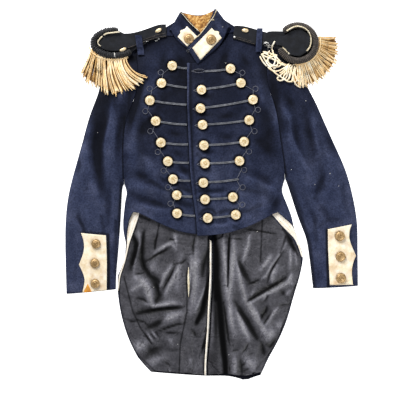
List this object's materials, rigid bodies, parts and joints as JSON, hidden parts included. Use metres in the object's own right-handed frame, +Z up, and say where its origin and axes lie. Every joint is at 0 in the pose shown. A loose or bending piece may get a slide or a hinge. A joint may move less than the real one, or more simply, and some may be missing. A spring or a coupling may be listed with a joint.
{
  "type": "military tailcoat",
  "caption": "Dark wool military tailcoat laid flat on its back, with a stand collar, braided button front, pointed cuff flaps, fringed epaulettes and cut-away tails.",
  "frame": {"origin": "centre of the laid coat, on the surface it lies on", "axes": "+Y towards the collar, -Y towards the tails, +X towards the wearer's left side, +Z up out of the surface"},
  "size_m": [0.7601, 0.9605, 0.0339],
  "materials": {
    "navy_wool": "matt, felted dark navy wool",
    "tan_lining": "worn tan silk, blotched",
    "cream_wool": "matt cream wool, lightly soiled",
    "black_cotton": "polished black cotton, crumpled",
    "black_cord_cloth": "matt black wool cloth and cord",
    "fringe_cord": "peach-tan twisted cord",
    "dull_braid": "dull grey-brown braid",
    "gilt_brass": "polished pale gilt, rubbed",
    "antique_brass": "dull antique brass"
  },
  "bodies": {
    "root": {"back_right": "navy_wool", "back_left": "navy_wool", "front_right": "navy_wool", "front_left": "navy_wool", "sleeve_right": "navy_wool", "sleeve_left": "navy_wool", "collar": "navy_wool", "epaulette_loop_right": "navy_wool", "epaulette_loop_left": "navy_wool", "collar_lining": "tan_lining", "collar_patch_right": "cream_wool", "collar_patch_left": "cream_wool", "cuff_flap_right": "cream_wool", "cuff_flap_left": "cream_wool", "tail_edge_right": "cream_wool", "tail_edge_left": "cream_wool", "vent_edge": "cream_wool", "tail_lining_right": "black_cotton", "tail_lining_left": "black_cotton", "epaulette_board_right": "black_cord_cloth", "epaulette_board_left": "black_cord_cloth", "epaulette_crescent_right": "black_cord_cloth", "epaulette_crescent_left": "black_cord_cloth", "epaulette_fringe_right": "fringe_cord", "epaulette_fringe_left": "fringe_cord", "braid_right": "dull_braid", "braid_left": "dull_braid", "button_right_1": "gilt_brass", "button_right_2": "gilt_brass", "button_right_3": "gilt_brass", "button_right_4": "gilt_brass", "button_right_5": "gilt_brass", "button_right_6": "gilt_brass", "button_right_7": "gilt_brass", "button_right_8": "gilt_brass", "button_right_9": "gilt_brass", "button_middle_2": "gilt_brass", "button_middle_3": "gilt_brass", "button_middle_4": "gilt_brass", "button_middle_5": "gilt_brass", "button_middle_6": "gilt_brass", "button_middle_7": "gilt_brass", "button_middle_8": "gilt_brass", "button_middle_9": "gilt_brass", "button_left_1": "gilt_brass", "button_left_2": "gilt_brass", "button_left_3": "gilt_brass", "button_left_4": "gilt_brass", "button_left_5": "gilt_brass", "button_left_6": "gilt_brass", "button_left_8": "gilt_brass", "button_left_9": "gilt_brass", "collar_button_right": "antique_brass", "collar_button_left": "antique_brass", "cuff_button_right_1": "antique_brass", "cuff_button_right_2": "antique_brass", "cuff_button_right_3": "antique_brass", "cuff_button_left_1": "antique_brass", "cuff_button_left_2": "antique_brass", "cuff_button_left_3": "antique_brass"}
  },
  "joints": []
}
